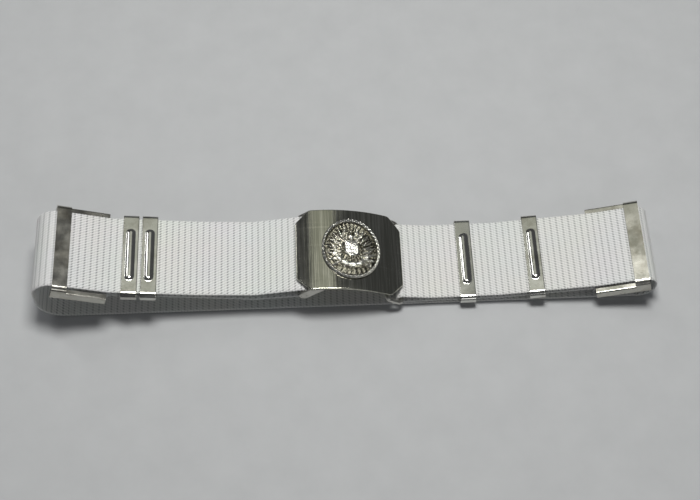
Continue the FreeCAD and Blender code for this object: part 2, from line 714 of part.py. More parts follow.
def make_keeper(label):
    """Sheet band round both layers, with a raised rib on its front."""
    start = -size("keeper_width") / 2
    outer = stadium_prism(label + "_outer", f"{KEEPER_INNER} + Sizes.keeper_sheet",
                          KEEPER_STRAIGHT, "Sizes.keeper_width", keeper_middle, start)
    inner = stadium_prism(label + "_inner", KEEPER_INNER, KEEPER_STRAIGHT,
                          "Sizes.keeper_width + 2", keeper_middle, start - 1)
    band = cut(label + "_band", outer, inner)
    front = half_thickness + gap + size("keeper_sheet")
    rib = box_between(label + "_rib", "Sizes.keeper_rib_width", "Sizes.keeper_rib_length",
                      "Sizes.keeper_rib_height + Sizes.keeper_sheet / 2",
                      Vector(-size("keeper_rib_width") / 2, -size("keeper_rib_length") / 2,
                             front - size("keeper_sheet") / 2))
    doc.recompute()
    upright = [index for index, edge in enumerate(rib.Shape.Edges, start=1)
               if abs(edge.tangentAt(edge.FirstParameter).z) > 0.9]
    pill = doc.addObject("Part::Fillet", label + "_pill")
    pill.Base = rib
    end_radius = size("keeper_rib_width") / 2 - 0.05
    pill.Edges = [(index, end_radius, end_radius) for index in upright]
    return join(label, band, pill)


def front_pose(x, start, end):
    """Pose on a straight of the front layer at x, +X along the belt to the right."""
    slope = math.atan2(end.z - start.z, end.x - start.x)
    place = at(x, start.z + (x - start.x) * math.tan(slope))
    return Placement(place, Rotation(Vector(0, 1, 0), -math.degrees(slope)))


keeper_runs = [
    ("keeper_left_outer", "keeper_one_place", left_shoulder, left_dip),
    ("keeper_left_inner", "keeper_two_place", left_shoulder, left_dip),
    ("keeper_right_inner", "keeper_three_place", right_flat, right_flat_end),
    ("keeper_right_outer", "keeper_four_place", right_flat_end, right_shoulder),
]
for label, place, start, end in keeper_runs:
    keeper = make_keeper(label)
    keeper.Placement = front_pose(size(place), start, end)
    name_subpart(keeper, label)

# ---- adjusters --------------------------------------------------------------------------------

SLIDE_HALF = "Sizes.webbing_width / 2 + Sizes.slide_side_gap + Sizes.slide_rail"
rail_inside = half_web + size("slide_side_gap")
rail_outside = rail_inside + size("slide_rail")
rail_top = -(half_thickness + layer_step) / 2 + half_thickness
end_bar_top = -(hem_offset + half_thickness + gap)
rail_bottom = end_bar_top - size("slide_end_thickness")
band_start = -size("slide_band") / 2


def make_adjuster(label):
    """Frame: a round-ended bar over the front layer, two side rails and an inner bar."""
    inner_straight = f"{SLIDE_HALF} - Sizes.slide_sheet - {KEEPER_INNER}"
    outer = stadium_prism(label + "_outer", f"{KEEPER_INNER} + Sizes.slide_sheet",
                          inner_straight, "Sizes.slide_band", keeper_middle, band_start)
    inner = stadium_prism(label + "_inner", KEEPER_INNER, inner_straight,
                          "Sizes.slide_band + 2", keeper_middle, band_start - 1)
    below_bar = box_between(label + "_below", "Sizes.slide_band + 2",
                            "Sizes.webbing_width + 2 * Sizes.slide_side_gap", "20",
                            Vector(band_start - 1, -rail_inside, rail_top - 20))
    arch = cut(label + "_arch", outer, join(label + "_space", inner, below_bar))
    length = size("slide_length")
    rails = []
    for sign in (1, -1):
        side = "far" if sign > 0 else "near"
        rail = box_between(f"{label}_rail_{side}", "Sizes.slide_length", "Sizes.slide_rail",
                           "1", Vector(-band_start - length,
                                          rail_inside if sign > 0 else -rail_outside,
                                          rail_bottom))
        rail.setExpression("Height", None)
        rail.Height = rail_top - rail_bottom
        doc.recompute()
        along = [index for index, edge in enumerate(rail.Shape.Edges, start=1)
                 if abs(edge.tangentAt(edge.FirstParameter).x) > 0.9
                 and abs(edge.CenterOfMass.y) > rail_inside + size("slide_rail") / 2]
        rounded = doc.addObject("Part::Fillet", f"{label}_rounded_{side}")
        rounded.Base = rail
        rounded.Edges = [(index, 1.2, 1.2) for index in along]
        rails.append(rounded)
    end_bar = box_between(label + "_end", "Sizes.slide_end_bar",
                          "Sizes.webbing_width + 2 * Sizes.slide_side_gap + 1",
                          "Sizes.slide_end_thickness",
                          Vector(-band_start - length, -rail_inside - 0.5, rail_bottom))
    pin_hole = cylinder_across(label + "_hole", "Sizes.slide_pin_diameter / 2 + Sizes.pin_gap",
                               "Sizes.webbing_width * 2", pin_local.x, pin_local.z)
    return cut(label, join(label + "_frame", arch, end_bar, *rails), pin_hole)


for side, pose in (("left", left_slide_pose), ("right", right_slide_pose)):
    frame = make_adjuster(f"{side}_adjuster")
    frame.Placement = pose
    name_subpart(frame, f"adjuster_{side}_frame")
    pin = cylinder_across(f"{side}_pin", "Sizes.slide_pin_diameter / 2",
                          f"2 * ({SLIDE_HALF})", pin_local.x, pin_local.z)
    pin.Placement = pose.multiply(pin.Placement)
    name_subpart(pin, f"adjuster_{side}_pin")

# ---- check and write ---------------------------------------------------------------------------

doc.recompute()
for item in doc.Objects:
    if "Invalid" in item.State or "Error" in item.State:
        raise RuntimeError(f"{item.Name} did not recompute: {item.State}")
os.makedirs("parts", exist_ok=True)
for item in subparts:
    if item.Shape.isNull() or not item.Shape.isValid():
        raise RuntimeError(f"{item.Label} has no valid shape")
    item.Shape.exportStep(f"parts/{item.Label}.step")
    box = item.Shape.BoundBox
    print(f"{item.Label:24s} solids {len(item.Shape.Solids)} volume {item.Shape.Volume:9.1f} "
          f"x {box.XMin:7.1f} {box.XMax:7.1f} y {box.YMin:6.1f} {box.YMax:6.1f} "
          f"z {box.ZMin:5.1f} {box.ZMax:5.1f}")
print("hinge axis", hinge_axis, "catch axis", catch_bar)
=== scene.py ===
import json
import math

import bmesh
import bpy
import numpy as np
from mathutils import Matrix, Vector

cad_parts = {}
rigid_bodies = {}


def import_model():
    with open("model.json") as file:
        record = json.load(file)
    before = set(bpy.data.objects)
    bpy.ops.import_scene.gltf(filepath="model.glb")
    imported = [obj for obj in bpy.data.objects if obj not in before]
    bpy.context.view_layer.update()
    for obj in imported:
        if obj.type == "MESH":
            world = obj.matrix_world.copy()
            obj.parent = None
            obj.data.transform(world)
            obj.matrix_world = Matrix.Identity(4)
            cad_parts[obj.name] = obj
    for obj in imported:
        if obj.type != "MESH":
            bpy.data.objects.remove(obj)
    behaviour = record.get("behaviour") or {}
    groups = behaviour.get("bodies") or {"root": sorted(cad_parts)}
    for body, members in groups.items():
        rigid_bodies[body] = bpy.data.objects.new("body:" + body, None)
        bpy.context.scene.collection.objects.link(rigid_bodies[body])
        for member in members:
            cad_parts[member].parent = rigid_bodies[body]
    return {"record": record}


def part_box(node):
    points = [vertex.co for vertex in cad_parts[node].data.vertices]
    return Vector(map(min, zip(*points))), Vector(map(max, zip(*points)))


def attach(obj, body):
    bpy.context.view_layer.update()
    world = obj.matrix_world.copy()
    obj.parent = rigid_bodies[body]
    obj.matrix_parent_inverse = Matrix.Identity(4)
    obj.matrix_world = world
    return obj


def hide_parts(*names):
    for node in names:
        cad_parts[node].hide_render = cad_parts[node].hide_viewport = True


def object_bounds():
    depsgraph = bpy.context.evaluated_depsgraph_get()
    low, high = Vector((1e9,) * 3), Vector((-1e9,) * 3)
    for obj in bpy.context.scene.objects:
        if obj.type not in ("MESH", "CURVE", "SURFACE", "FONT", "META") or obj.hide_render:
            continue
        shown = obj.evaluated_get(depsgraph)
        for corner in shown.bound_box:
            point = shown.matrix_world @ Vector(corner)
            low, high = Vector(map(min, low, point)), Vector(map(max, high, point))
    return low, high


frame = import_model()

CAD_BOX = [list(corner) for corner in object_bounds()]
MM = 0.001


# ---- places taken from the frame ------------------------------------------------------------

def joint_place(name):
    for joint in frame["record"]["behaviour"]["joints"]:
        if joint["name"] == name:
            return Vector(joint["pos_m"])
    raise KeyError(name)


HALF_LENGTH = (CAD_BOX[1][0] - CAD_BOX[0][0]) / 2
BACK_LOW, BACK_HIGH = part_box("webbing_back")
THICKNESS = BACK_HIGH[2] - BACK_LOW[2]
WIDTH = BACK_HIGH[1] - BACK_LOW[1]
HINGE = joint_place("buckle_hinge")
CATCH = joint_place("catch_ring_swing")

PLATE_TILT = math.radians(12.0)
PLATE_ARCH = 95.0 * MM
PLATE_LENGTH = 73.0 * MM
PLATE_SHEET = 1.2 * MM
PLATE_CORNER = 9.5 * MM
PLATE_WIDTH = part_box("buckle_plate")[1][1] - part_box("buckle_plate")[0][1]
HINGE_SETBACK = 6.5 * MM
HINGE_DEPTH = 12.5 * MM
hinge_in_buckle = Vector((-(PLATE_LENGTH / 2 - HINGE_SETBACK), 0, -HINGE_DEPTH))
buckle_turn = Matrix.Rotation(PLATE_TILT, 4, "Y")
BUCKLE = Matrix.Translation(HINGE - buckle_turn @ hinge_in_buckle) @ buckle_turn


# ---- materials ------------------------------------------------------------------------------

class Shader:
    """A small helper that adds nodes to one material."""

    def __init__(self, name):
        self.material = bpy.data.materials.new(name)
        self.material.use_nodes = True
        self.tree = self.material.node_tree
        self.surface = self.tree.nodes["Principled BSDF"]

    def node(self, kind, inputs=None, **settings):
        node = self.tree.nodes.new(kind)
        for key, value in settings.items():
            setattr(node, key, value)
        for key, value in (inputs or {}).items():
            if isinstance(value, bpy.types.NodeSocket):
                self.tree.links.new(value, node.inputs[key])
            else:
                node.inputs[key].default_value = value
        return node

    def set(self, **inputs):
        for key, value in inputs.items():
            socket = self.surface.inputs[key.replace("_", " ")]
            if isinstance(value, bpy.types.NodeSocket):
                self.tree.links.new(value, socket)
            else:
                socket.default_value = value

    def noise(self, scale, stretch=(1, 1, 1), detail=4.0, roughness=0.6):
        place = self.node("ShaderNodeTexCoord").outputs["Object"]
        mapped = self.node("ShaderNodeMapping", {"Vector": place, "Scale": stretch})
        return self.node("ShaderNodeTexNoise", {"Vector": mapped.outputs["Vector"], "Scale": scale,
                                                "Detail": detail, "Roughness": roughness})

    def ramp(self, factor, stops):
        node = self.node("ShaderNodeValToRGB", {"Fac": factor})
        ramp = node.color_ramp
        while len(ramp.elements) < len(stops):
            ramp.elements.new(0.5)
        for element, (place, colour) in zip(ramp.elements, stops):
            element.position = place
            element.color = (*colour, 1.0)
        return node.outputs["Color"]

    def bump(self, height, strength, distance):
        return self.node("ShaderNodeBump", {"Height": height, "Strength": strength,
                                            "Distance": distance}).outputs["Normal"]


def webbing_material():
    """White nylon: painted shade darkens the weave's hollows, with fine yarn strands and a soft sheen."""
    shader = Shader("white_webbing")
    weave_and_painted_shade = shader.node("ShaderNodeAttribute", attribute_name="weave_and_painted_shade").outputs["Fac"]
    strands = shader.noise(2600.0, (1.0, 0.35, 1.0), 3.0)
    tone = shader.noise(22.0, detail=3.0)
    # painted shade: the ramp turns the weave's height into colour, dark grey in the hollows where shade
    # falls and white on the bumps
    colour = shader.ramp(weave_and_painted_shade, [(0.0, (0.26, 0.27, 0.27)), (0.35, (0.58, 0.59, 0.58)),
                                 (1.0, (0.88, 0.885, 0.87))])
    toned = shader.node("ShaderNodeMix", {"Factor": 0.10}, data_type="RGBA", blend_type="MULTIPLY")
    shader.tree.links.new(colour, toned.inputs["A"])
    shader.tree.links.new(tone.outputs["Color"], toned.inputs["B"])
    shader.set(Base_Color=toned.outputs["Result"], Roughness=0.62, Sheen_Weight=0.25,
               Sheen_Roughness=0.4, Specular_IOR_Level=0.35,
               Normal=shader.bump(strands.outputs["Fac"], 0.35, 0.0002))
    return shader.material


def metal_material(name, tint, dark, roughness, scratch=0.25, stretch=(1, 1, 1)):
    """Polished plating with uneven gloss, hairline scratches and tarnish."""
    shader = Shader(name)
    haze = shader.noise(70.0, detail=6.0)
    hair = shader.noise(900.0, stretch, 2.0)
    tarnish = shader.noise(38.0, detail=8.0, roughness=0.7)
    colour = shader.ramp(tarnish.outputs["Fac"], [(0.30, dark), (0.52, tint)])
    gloss = shader.node("ShaderNodeMapRange", {"Value": haze.outputs["Fac"], "From Min": 0.3,
                                               "From Max": 0.75, "To Min": roughness,
                                               "To Max": roughness * 2.4})
    shader.set(Base_Color=colour, Metallic=1.0, Roughness=gloss.outputs["Result"],
               Normal=shader.bump(hair.outputs["Fac"], scratch, 0.00004))
    return shader.material


def plate_material():
    """Mirror plate: long fine scratches across the belt and a few crossing ones."""
    shader = Shader("plate_mirror")
    across = shader.noise(900.0, (1.0, 0.02, 1.0), 4.0)
    crossing = shader.noise(300.0, (0.03, 1.0, 0.05), 3.0)
    lines = shader.ramp(across.outputs["Fac"], [(0.44, (0, 0, 0)), (0.62, (1, 1, 1))])
    rubs = shader.ramp(crossing.outputs["Fac"], [(0.62, (0, 0, 0)), (0.72, (1, 1, 1))])
    both = shader.node("ShaderNodeMix", {"Factor": 0.3}, data_type="RGBA")
    shader.tree.links.new(lines, both.inputs["A"])
    shader.tree.links.new(rubs, both.inputs["B"])
    haze = shader.noise(55.0, detail=6.0)
    gloss = shader.node("ShaderNodeMapRange", {"Value": haze.outputs["Fac"], "From Min": 0.3,
                                               "From Max": 0.8, "To Min": 0.06, "To Max": 0.20})
    colour = shader.ramp(both.outputs["Result"], [(0.0, (0.38, 0.38, 0.32)), (1.0, (0.72, 0.71, 0.63))])
    shader.set(Base_Color=colour, Metallic=1.0, Roughness=gloss.outputs["Result"],
               Normal=shader.bump(both.outputs["Result"], 0.30, 0.00005))
    return shader.material


def medallion_material():
    """Struck nickel: bright on the relief, dark in the recesses."""
    shader = Shader("medallion_relief")
    relief = shader.node("ShaderNodeAttribute", attribute_name="relief").outputs["Fac"]
    haze = shader.noise(160.0, detail=5.0)
    colour = shader.ramp(relief, [(0.08, (0.05, 0.048, 0.035)), (0.40, (0.36, 0.35, 0.29)),
                                  (0.75, (0.84, 0.83, 0.77))])
    gloss = shader.node("ShaderNodeMapRange", {"Value": haze.outputs["Fac"], "From Min": 0.3,
                                               "From Max": 0.8, "To Min": 0.12, "To Max": 0.30})
    shader.set(Base_Color=colour, Metallic=1.0, Roughness=gloss.outputs["Result"],
               Normal=shader.bump(haze.outputs["Fac"], 0.2, 0.00006))
    return shader.material


WEBBING = webbing_material()
KEEPER = metal_material("keeper_nickel", (0.66, 0.66, 0.62), (0.40, 0.39, 0.34), 0.09, 0.25,
                        (0.05, 1.0, 1.0))
ADJUSTER = metal_material("adjuster_nickel", (0.52, 0.51, 0.46), (0.26, 0.24, 0.19), 0.13)
HARDWARE = metal_material("hardware_steel", (0.56, 0.55, 0.51), (0.30, 0.29, 0.26), 0.20)
PLATE = plate_material()
MEDALLION = medallion_material()


# ---- mesh helpers ---------------------------------------------------------------------------

def add_mesh(name, vertices, faces, material, uv=None, attribute=None):
    mesh = bpy.data.meshes.new(name)
    mesh.from_pydata(vertices.tolist() if hasattr(vertices, "tolist") else vertices, [],
                     faces.tolist() if hasattr(faces, "tolist") else faces)
    mesh.validate()
    mesh.shade_smooth()
    if attribute is not None:
        layer = mesh.attributes.new(attribute[0], "FLOAT", "POINT")
        layer.data.foreach_set("value", np.asarray(attribute[1], dtype=np.float32))
    if uv is not None:
        layer = mesh.uv_layers.new(name="OFBake")
        corners = np.zeros(len(mesh.loops), dtype=np.int32)
        mesh.loops.foreach_get("vertex_index", corners)
        layer.data.foreach_set("uv", np.asarray(uv, dtype=np.float32)[corners].ravel())
    mesh.materials.append(material)
    piece = bpy.data.objects.new(name, mesh)
    bpy.context.scene.collection.objects.link(piece)
    return piece


def grid_faces(rows, columns, wrap):
    """Quads of a grid of vertices; wrap closes each row into a ring."""
    row, column = np.meshgrid(np.arange(rows - 1), np.arange(columns if wrap else columns - 1),
                              indexing="ij")
    following = (column + 1) % columns
    return np.stack([row * columns + column, row * columns + following,
                     (row + 1) * columns + following, (row + 1) * columns + column],
                    axis=-1).reshape(-1, 4)


def stand_for(piece, node, body):
    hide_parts(node)
    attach(piece, body)


def softened_copy(node, body, material, bevel):
    """The CAD piece again with its hard edges rolled over, as plated sheet and wire have them."""
    source = bpy.data.objects[node]
    mesh = source.data.copy()
    mesh.name = node + "_finished"
    work = bmesh.new()
    work.from_mesh(mesh)
    bmesh.ops.remove_doubles(work, verts=work.verts, dist=1e-6)
    bmesh.ops.dissolve_limit(work, angle_limit=math.radians(1.0), verts=work.verts, edges=work.edges)
    sharp = [edge for edge in work.edges
             if len(edge.link_faces) == 2 and edge.calc_face_angle() > math.radians(35)]
    bmesh.ops.bevel(work, geom=sharp, offset=bevel, segments=3, profile=0.5, affect="EDGES",
                    clamp_overlap=True)
    bmesh.ops.triangulate(work, faces=[face for face in work.faces if len(face.verts) > 4])
    work.to_mesh(mesh)
    work.free()
    mesh.materials.clear()
    mesh.materials.append(material)
    mesh.shade_smooth()
    piece = bpy.data.objects.new(node + "_finished", mesh)
    bpy.context.scene.collection.objects.link(piece)
    smooth = piece.modifiers.new("flat_faces", "WEIGHTED_NORMAL")
    smooth.keep_sharp = False
    stand_for(piece, node, body)
    return piece


# ---- the webbing's route, in the XZ plane ---------------------------------------------------

def at(x, z):
    return np.array([x, z])


def unit(vector):
    return vector / np.linalg.norm(vector)


def wrap_corners(before, centre, radius, after, side):
    """The two corners that lead a route round a bar: side is +1 right of it, -1 left of it."""
    corners = []
    for point, upper in ((before, before[1] > after[1]), (after, after[1] > before[1])):
        away = centre - point
        base = math.atan2(away[1], away[0] * side)
        swing = math.asin(radius / np.linalg.norm(away))
        slope = base + swing if upper else base - swing
        x = centre[0] + side * radius
        corners.append(at(x, point[1] + (x - point[0]) * side * math.tan(slope)))
    return corners


class Route:
    """Straight runs joined by tangent arcs, read by distance along it."""

    def __init__(self, stations):
        self.pieces = []
        self.ends = [0.0]
        start = stations[0][0]
        for index in range(1, len(stations) - 1):
            corner, radius = stations[index]
            incoming = unit(corner - stations[index - 1][0])
            outgoing = unit(stations[index + 1][0] - corner)
            turn = math.atan2(incoming[0] * outgoing[1] - incoming[1] * outgoing[0],
                              float(incoming @ outgoing))
            reach = radius * math.tan(abs(turn) / 2)
            first = corner - incoming * reach
            self.add_line(start, first)
            self.add(("arc", first, incoming, radius, turn), radius * abs(turn))
            start = corner + outgoing * reach
        self.add_line(start, stations[-1][0])

    def add(self, piece, length):
        self.pieces.append(piece)
        self.ends.append(self.ends[-1] + length)

    def add_line(self, start, end):
        length = float(np.linalg.norm(end - start))
        if length > 1e-6:
            self.add(("line", start, unit(end - start)), length)

    def read(self, distance):
        """Point and heading at a distance along the route."""
        index = min(max(int(np.searchsorted(self.ends, distance, side="right")) - 1, 0),
                    len(self.pieces) - 1)
        piece = self.pieces[index]
        local = distance - self.ends[index]
        if piece[0] == "line":
            return piece[1] + piece[2] * local, piece[2]
        _, start, heading, radius, turn = piece
        angle = math.copysign(local / radius, turn)
        side = at(-heading[1], heading[0]) * math.copysign(1, turn)
        point = start + heading * radius * math.sin(abs(angle)) + side * radius * (1 - math.cos(angle))
        turned = at(heading[0] * math.cos(angle) - heading[1] * math.sin(angle),
                    heading[0] * math.sin(angle) + heading[1] * math.cos(angle))
        return point, turned


# The route's sizes, the same as part.py's.
LEFT_SHOULDER_REACH = 49.1 * MM
LEFT_SHOULDER_HEIGHT = 31.0 * MM
LEFT_SHOULDER_RISE = 17.7 * MM
LEFT_DIP_REACH = 106.6 * MM
LEFT_DIP_HEIGHT = 23.1 * MM
LEFT_WAIST_BEFORE_BAR = 33.0 * MM
LEFT_WAIST_HEIGHT = 20.1 * MM
LEFT_WAIST_RETURN_HEIGHT = 14.3 * MM
LEFT_FOLD_HIGH_RADIUS = 13.0 * MM
LEFT_FOLD_LOW_RADIUS = 18.0 * MM
LEFT_SLIDE_REACH = 19.1 * MM
HINGE_LOOP_INNER = 3.2 * MM
HINGE_BAR_RADIUS = 2.0 * MM
RIGHT_SHOULDER_REACH = 37.3 * MM
RIGHT_SHOULDER_HEIGHT = 16.5 * MM
RIGHT_SHOULDER_RISE = 9.0 * MM
RIGHT_FLAT_START = 18.8 * MM
RIGHT_FLAT_LENGTH = 46.0 * MM
RIGHT_FLAT_RISE = 0.7 * MM
RIGHT_FLAT_CLEARANCE = 0.8 * MM
RIGHT_FOLD_HIGH_RADIUS = 8.5 * MM
RIGHT_FOLD_LOW_RADIUS = 11.0 * MM
RIGHT_SLIDE_REACH = 6.0 * MM
SLIDE_HALF_BAND = 4.75 * MM
CATCH_LOOP_INNER = 2.8 * MM
CATCH_WIRE_RADIUS = 1.6 * MM

HALF = THICKNESS / 2
FIT = 0.3 * MM
STEP = THICKNESS * 2
SOFT = 30.0 * MM
PIN = 1.5 * MM
PIN_WRAP = PIN + FIT + HALF
SLIDE_PIN = at(-14.0 * MM, -(STEP + PIN_WRAP))
HEM_DEPTH = STEP + THICKNESS + FIT
HEM_LENGTH = 19.0 * MM


def offset_below(point, before, after):
    heading = unit(unit(point - before) + unit(after - point))
    upward = at(-heading[1], heading[0])
    if upward[1] < 0:
        upward = -upward
    half_turn = math.acos(min(1.0, float(unit(point - before) @ unit(after - point)))) / 2
    return point - upward * STEP / math.cos(half_turn)


def tail(origin, slope, outward):
    """Hem and wrap round an adjuster's pin, from the cut end on."""
    start = SLIDE_PIN[0] - 2.4 * PIN_WRAP
    hem = at(start, -HEM_DEPTH)
    lower, upper = wrap_corners(hem, SLIDE_PIN, PIN_WRAP, at(start, -STEP), 1)
    local = [(at(SLIDE_PIN[0] - HEM_LENGTH, -HEM_DEPTH), 0), (hem, PIN_WRAP * 2),
             (lower, PIN_WRAP), (upper, PIN_WRAP)]
    placed = []
    for point, radius in local:
        x = point[0] * math.cos(slope) - point[1] * math.sin(slope)
        z = point[0] * math.sin(slope) + point[1] * math.cos(slope)
        placed.append((origin + at(outward * x, z), radius))
    return placed


LEFT = -(HALF_LENGTH - HALF)
left_shoulder = at(LEFT + LEFT_SHOULDER_REACH, LEFT_SHOULDER_HEIGHT)
left_high = at(LEFT, left_shoulder[1] + LEFT_SHOULDER_RISE)
left_dip = at(LEFT + LEFT_DIP_REACH, LEFT_DIP_HEIGHT)
left_waist = at(HINGE.x - LEFT_WAIST_BEFORE_BAR, LEFT_WAIST_HEIGHT)
left_waist_return = at(left_waist[0], LEFT_WAIST_RETURN_HEIGHT)
hinge_wrap_radius = HINGE_LOOP_INNER + HALF
hinge_wrap = at(HINGE.x - (HINGE_LOOP_INNER - HINGE_BAR_RADIUS) + FIT, HINGE.z)
left_slope = math.atan2(LEFT_SHOULDER_RISE, LEFT_SHOULDER_REACH)
left_slide_run = LEFT_SHOULDER_REACH - LEFT_SLIDE_REACH
left_slide = left_shoulder + at(-1, math.tan(left_slope)) * left_slide_run
left_in, left_out = wrap_corners(left_waist, hinge_wrap, hinge_wrap_radius, left_waist_return, 1)

RIGHT = HALF_LENGTH - HALF
catch_wrap_radius = CATCH_LOOP_INNER + HALF
catch_wrap = at(CATCH.x + (CATCH_LOOP_INNER - CATCH_WIRE_RADIUS) - FIT, CATCH.z)
right_shoulder = at(RIGHT - RIGHT_SHOULDER_REACH, RIGHT_SHOULDER_HEIGHT)
right_high = at(RIGHT, right_shoulder[1] + RIGHT_SHOULDER_RISE)
right_flat_height = THICKNESS + FIT + HALF + STEP + FIT + RIGHT_FLAT_CLEARANCE
right_flat = at(catch_wrap[0] + RIGHT_FLAT_START, right_flat_height)
right_flat_end = right_flat + at(RIGHT_FLAT_LENGTH, RIGHT_FLAT_RISE)
right_slope = math.atan2(RIGHT_SHOULDER_RISE, RIGHT_SHOULDER_REACH)
right_slide_run = RIGHT_SHOULDER_REACH - RIGHT_SLIDE_REACH - SLIDE_HALF_BAND
right_slide = right_shoulder + at(1, math.tan(right_slope)) * right_slide_run
right_flat_return = offset_below(right_flat, catch_wrap, right_flat_end)
right_in, right_out = wrap_corners(right_flat, catch_wrap, catch_wrap_radius, right_flat_return, -1)

left_route = Route(tail(left_slide, left_slope, -1) + [
    (offset_below(left_shoulder, left_high, left_dip), SOFT),
    (offset_below(left_dip, left_shoulder, left_waist), SOFT),
    (left_waist_return, SOFT),
    (left_out, hinge_wrap_radius),
    (left_in, hinge_wrap_radius),
    (left_waist, SOFT),
    (left_dip, SOFT),
    (left_shoulder, SOFT),
    (left_high, LEFT_FOLD_HIGH_RADIUS),
    (at(LEFT, HALF), LEFT_FOLD_LOW_RADIUS),
    (at(0, HALF), 0),
])
right_route = Route(tail(right_slide, right_slope, 1) + [
    (offset_below(right_shoulder, right_flat_end, right_high), SOFT),
    (offset_below(right_flat_end, right_flat, right_shoulder), SOFT),
    (right_flat_return, 30.0 * MM),
    (right_out, catch_wrap_radius),
    (right_in, catch_wrap_radius),
    (right_flat, 30.0 * MM),
    (right_flat_end, SOFT),
    (right_shoulder, SOFT),
    (right_high, RIGHT_FOLD_HIGH_RADIUS),
    (at(RIGHT, HALF), RIGHT_FOLD_LOW_RADIUS),
    (at(0, HALF), 0),
])


# ---- webbing --------------------------------------------------------------------------------

COLUMN = 2.05 * MM
BUMP = 2.0 * MM
WEAVE_DEPTH = 0.38 * MM


def weave_height(along, across):
    """Height of the weave, 0 to 1: slanted bumps in columns, every second groove deeper. The same height
    also drives the painted shade in the webbing's colour.
    """
    column = np.floor(along / COLUMN)
    inside = along / COLUMN - column
    to_deep = np.where(column % 2 == 0, inside, 1 - inside)
    deep = np.exp(-(to_deep / 0.30) ** 2)
    faint = np.exp(-((1 - to_deep) / 0.16) ** 2)
    hollow = np.cos(math.pi * (across / BUMP + 0.5 * (column % 2) + 0.45 * inside)) ** 2
    return np.clip(1.0 - 0.46 * hollow - deep * (0.22 + 0.60 * hollow) - 0.20 * faint, 0.0, 1.0)


def webbing_piece(name, route, start, end, along_step, across_steps):
    """Closed ribbed strap along part of a route; each section is a ring of points."""
    count = max(8, int(round((end - start) / along_step)) + 1)
    stations = np.linspace(start, end, count)
    read = [route.read(value) for value in stations]
    centre = np.array([point for point, _ in read])
    heading = np.array([direction for _, direction in read])
    normal = np.stack([-heading[:, 1], heading[:, 0]], axis=1)
    across = np.linspace(-1, 1, across_steps)
    ring_across = np.concatenate([across, [1.0], across[::-1], [-1.0]])
    ring_side = np.concatenate([np.ones(across_steps), [0.0], -np.ones(across_steps), [0.0]])
    along = stations[:, None]
    scallop = 0.5 * MM * (1 - np.abs(np.sin(math.pi * along / COLUMN)) ** 0.6)
    reach = WIDTH / 2 - 0.35 * MM * np.abs(ring_side) - scallop * (np.abs(ring_across) > 0.985)
    y = ring_across * reach
    weave_and_painted_shade = weave_height(along, y + WIDTH)
    edge = np.clip((1 - np.abs(ring_across)) * WIDTH / 2 / (1.6 * MM), 0, 1)
    height = ring_side * (HALF - WEAVE_DEPTH * (1 - weave_and_painted_shade) - 0.30 * MM * (1 - edge) ** 2)
    x = centre[:, :1] + normal[:, :1] * height
    z = centre[:, 1:] + normal[:, 1:] * height
    columns = len(ring_across)
    vertices = np.stack([x, y, z], axis=-1).reshape(-1, 3)
    faces = grid_faces(count, columns, True).tolist()
    faces.append(list(range(columns)))
    faces.append(list(range((count - 1) * columns, count * columns))[::-1])
    u = np.repeat((stations - start) / max(end - start, 1e-6), columns)
    v = np.tile(np.linspace(0, 0.98, columns), count)
    # painted shade: the weave's height goes to the material, which darkens the hollows with it; the sides
    # get a flat mid tone
    shade = np.where(np.abs(ring_side) > 0.5, weave_and_painted_shade, 0.75 + 0 * weave_and_painted_shade).reshape(-1)
    piece = add_mesh(name, vertices, faces, WEBBING, uv=np.stack([u, v], axis=1),
                     attribute=("weave_and_painted_shade", shade))
    return piece


def wrap_span(route, radius, first_from):
    """Distances at which the route goes on and off a bar of the given wrap radius."""
    spans = [(route.ends[i], route.ends[i + 1]) for i, piece in enumerate(route.pieces)
             if i >= first_from and piece[0] == "arc" and abs(piece[3] - radius) < 1e-7]
    return spans[0][0], spans[-1][1]


TAIL_PIECES = 5
for side, route, radius in (("left", left_route, hinge_wrap_radius),
                            ("right", right_route, catch_wrap_radius)):
    on, off = wrap_span(route, radius, TAIL_PIECES)
    fold_start = route.ends[-5]
    fold_end = route.ends[-2]
    spans = {"return": (0.0, on, COLUMN / 4, 58), "loop": (on, off, COLUMN / 6, 58),
             "front": (off, fold_start, COLUMN / 4, 138), "fold": (fold_start, fold_end, COLUMN / 5, 138)}
    for part, (start, end, along_step, across_steps) in spans.items():
        node = f"webbing_{side}_{part}"
        piece = webbing_piece(node + "_woven", route, start, end, along_step, across_steps)
        stand_for(piece, node, "belt")

back_route = Route([(at(BACK_LOW[0], HALF), 0), (at(BACK_HIGH[0], HALF), 0)])
back = webbing_piece("webbing_back_woven", back_route, 0.0, BACK_HIGH[0] - BACK_LOW[0],
                     COLUMN / 3, 80)
stand_for(back, "webbing_back", "belt")


# ---- keepers --------------------------------------------------------------------------------

def slope_pose(node, joint_name):
    """Pose of a keeper: its middle, with +X along its slide."""
    for joint in frame["record"]["behaviour"]["joints"]:
        if joint["name"] == joint_name:
            axis = Vector(joint["axis"]).normalized()
    low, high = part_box(node)
    middle = Vector([(a + b) / 2 for a, b in zip(low, high)])
    upward = Vector((-axis.z, 0, axis.x))
    return Matrix.Translation(middle) @ Matrix((
        (axis.x, 0, upward.x, 0), (0, 1, 0, 0), (axis.z, 0, upward.z, 0), (0, 0, 0, 1)))


KEEPER_SHEET = 0.8 * MM
KEEPER_WIDTH = 10.5 * MM
KEEPER_RIB = 1.0 * MM
KEEPER_INNER = 3.0 * MM
RIB_HALF_LENGTH = 19.5 * MM
RIB_HALF_WIDTH = 3.0 * MM


